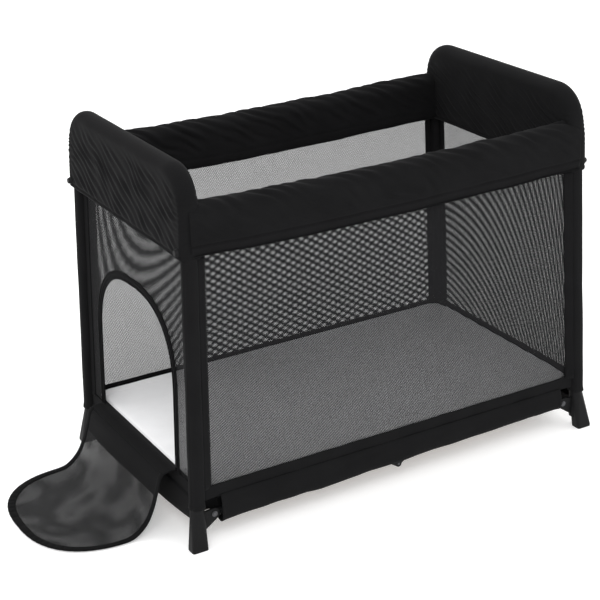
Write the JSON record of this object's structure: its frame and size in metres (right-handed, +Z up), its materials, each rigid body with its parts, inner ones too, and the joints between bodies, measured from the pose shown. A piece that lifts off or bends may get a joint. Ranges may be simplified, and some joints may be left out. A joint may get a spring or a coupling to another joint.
{
  "type": "playpen",
  "caption": "Flat-folding playpen with mesh walls, padded rails, raised padded ends, a thin floor pad and an arched door flap in one end.",
  "frame": {"origin": "on the floor, at the middle of the model's own box with the door flap lying open", "axes": "+X runs along the long side away from the door end, +Y across the playpen, +Z up"},
  "size_m": [1.4146, 0.66, 0.888],
  "materials": {
    "black_fabric": "matt woven polyester, padded",
    "black_mesh": "knitted polyester mesh",
    "pad_fabric": "light grey jersey",
    "dark_plastic": "fine texture",
    "board": "hardboard",
    "frame_tube": "satin powder coat",
    "steel": "bright"
  },
  "bodies": {
    "door_end": {"door_end_tube": "frame_tube", "door_end_cover": "black_fabric", "door_end_mesh": "black_mesh", "door_end_hem": "black_fabric", "door_zip_tape": "black_fabric", "door_post_sleeves": "black_fabric", "door_foot_front": "dark_plastic", "door_foot_back": "dark_plastic", "door_bracket_front": "dark_plastic", "door_bracket_back": "dark_plastic", "door_lower_rivets": "steel", "door_upper_rivets": "steel", "door_cover_studs": "dark_plastic", "side_cover_front": "black_fabric", "side_cover_back": "black_fabric", "side_mesh_front": "black_mesh", "side_mesh_back": "black_mesh", "lower_sleeve_front": "black_fabric", "lower_sleeve_back": "black_fabric"},
    "zip_slider": {"zip_slider": "steel"},
    "far_end": {"far_end_tube": "frame_tube", "far_end_cover": "black_fabric", "far_end_mesh": "black_mesh", "far_end_hem": "black_fabric", "far_post_sleeves": "black_fabric", "far_foot_front": "dark_plastic", "far_foot_back": "dark_plastic", "far_bracket_front": "dark_plastic", "far_bracket_back": "dark_plastic", "far_lower_rivets": "steel", "far_upper_rivets": "steel", "far_cover_studs": "dark_plastic"},
    "lower_left": {"lower_rail_left_front": "frame_tube", "lower_rail_left_back": "frame_tube", "lower_knee_forks": "dark_plastic", "lower_knee_pins": "steel"},
    "lower_right": {"lower_rail_right_front": "frame_tube", "lower_rail_right_back": "frame_tube", "lower_knee_tongues": "dark_plastic"},
    "top_left": {"top_rail_left_front": "frame_tube", "top_rail_left_back": "frame_tube", "top_knee_forks": "dark_plastic", "top_knee_pins": "steel"},
    "top_right": {"top_rail_right_front": "frame_tube", "top_rail_right_back": "frame_tube", "top_knee_tongues": "dark_plastic"},
    "release_button_front": {"release_button_front": "dark_plastic"},
    "release_button_back": {"release_button_back": "dark_plastic"},
    "mattress_left": {"mattress_left": "pad_fabric", "base_board_left": "board"},
    "mattress_right": {"mattress_right": "pad_fabric", "base_board_right": "board"},
    "flap_band": {"flap_band": "black_fabric"},
    "flap_middle": {"flap_middle": "black_mesh"},
    "flap_tip": {"flap_tip": "black_mesh"}
  },
  "joints": [
    {"name": "fold", "type": "hinge", "parent": "door_end", "child": "lower_left", "pos_m": [-0.35366, 0, 0.07], "axis": [0, -1, 0], "range_deg": [0, 88], "deforming": ["side_cover_front", "side_cover_back", "side_mesh_front", "side_mesh_back", "lower_sleeve_front", "lower_sleeve_back"]},
    {"name": "lower_knee", "type": "hinge", "parent": "lower_left", "child": "lower_right", "pos_m": [0.14134, 0, 0.046], "axis": [0, -1, 0], "range_deg": [-176, 0]},
    {"name": "lower_far_pivot", "type": "hinge", "parent": "lower_right", "child": "far_end", "pos_m": [0.63634, 0, 0.07], "axis": [0, -1, 0], "range_deg": [0, 88]},
    {"name": "top_door_pivot", "type": "hinge", "parent": "door_end", "child": "top_left", "pos_m": [-0.35366, 0, 0.752], "axis": [0, -1, 0], "range_deg": [-88, 0]},
    {"name": "top_knee", "type": "hinge", "parent": "top_left", "child": "top_right", "pos_m": [0.14134, 0, 0.776], "axis": [0, -1, 0], "range_deg": [0, 176]},
    {"name": "mattress_door_hinge", "type": "hinge", "parent": "door_end", "child": "mattress_left", "pos_m": [-0.35366, 0, 0.134], "axis": [0, -1, 0], "range_deg": [0, 88]},
    {"name": "mattress_middle_hinge", "type": "hinge", "parent": "mattress_left", "child": "mattress_right", "pos_m": [0.14134, 0, 0.11], "axis": [0, -1, 0], "range_deg": [-176, 0]},
    {"name": "door_flap", "type": "hinge", "parent": "door_end", "child": "flap_band", "pos_m": [-0.39966, 0, 0.146], "axis": [0, 1, 0], "range_deg": [0, 133.5]},
    {"name": "flap_middle_bend", "type": "hinge", "parent": "flap_band", "child": "flap_middle", "pos_m": [-0.45208, 0, 0.09962], "axis": [0, 1, 0], "range_deg": [0, 18.05]},
    {"name": "flap_tip_bend", "type": "hinge", "parent": "flap_middle", "child": "flap_tip", "pos_m": [-0.50934, 0, 0.0022], "axis": [0, 1, 0], "range_deg": [-59.55, 0]},
    {"name": "zip", "type": "slide", "parent": "door_end", "child": "zip_slider", "axis": [0.0349, 0, 0.9994], "range_m": [0, 0.17]},
    {"name": "release_front", "type": "slide", "parent": "top_left", "child": "release_button_front", "axis": [0, 0, 1], "range_m": [0, 0.004], "stiffness_N_per_m": 600, "springref_m": -0.002},
    {"name": "release_back", "type": "slide", "parent": "top_left", "child": "release_button_back", "axis": [0, 0, 1], "range_m": [0, 0.004], "stiffness_N_per_m": 600, "springref_m": -0.002}
  ],
  "couplings": [
    {"joint": "lower_knee", "follows": "fold", "ratio": -2},
    {"joint": "lower_far_pivot", "follows": "fold", "ratio": 1},
    {"joint": "top_door_pivot", "follows": "fold", "ratio": -1},
    {"joint": "top_knee", "follows": "fold", "ratio": 2},
    {"joint": "mattress_door_hinge", "follows": "fold", "ratio": 1},
    {"joint": "mattress_middle_hinge", "follows": "fold", "ratio": -2},
    {"joint": "flap_middle_bend", "follows": "door_flap", "ratio": 0.13523},
    {"joint": "flap_tip_bend", "follows": "door_flap", "ratio": -0.44609}
  ]
}
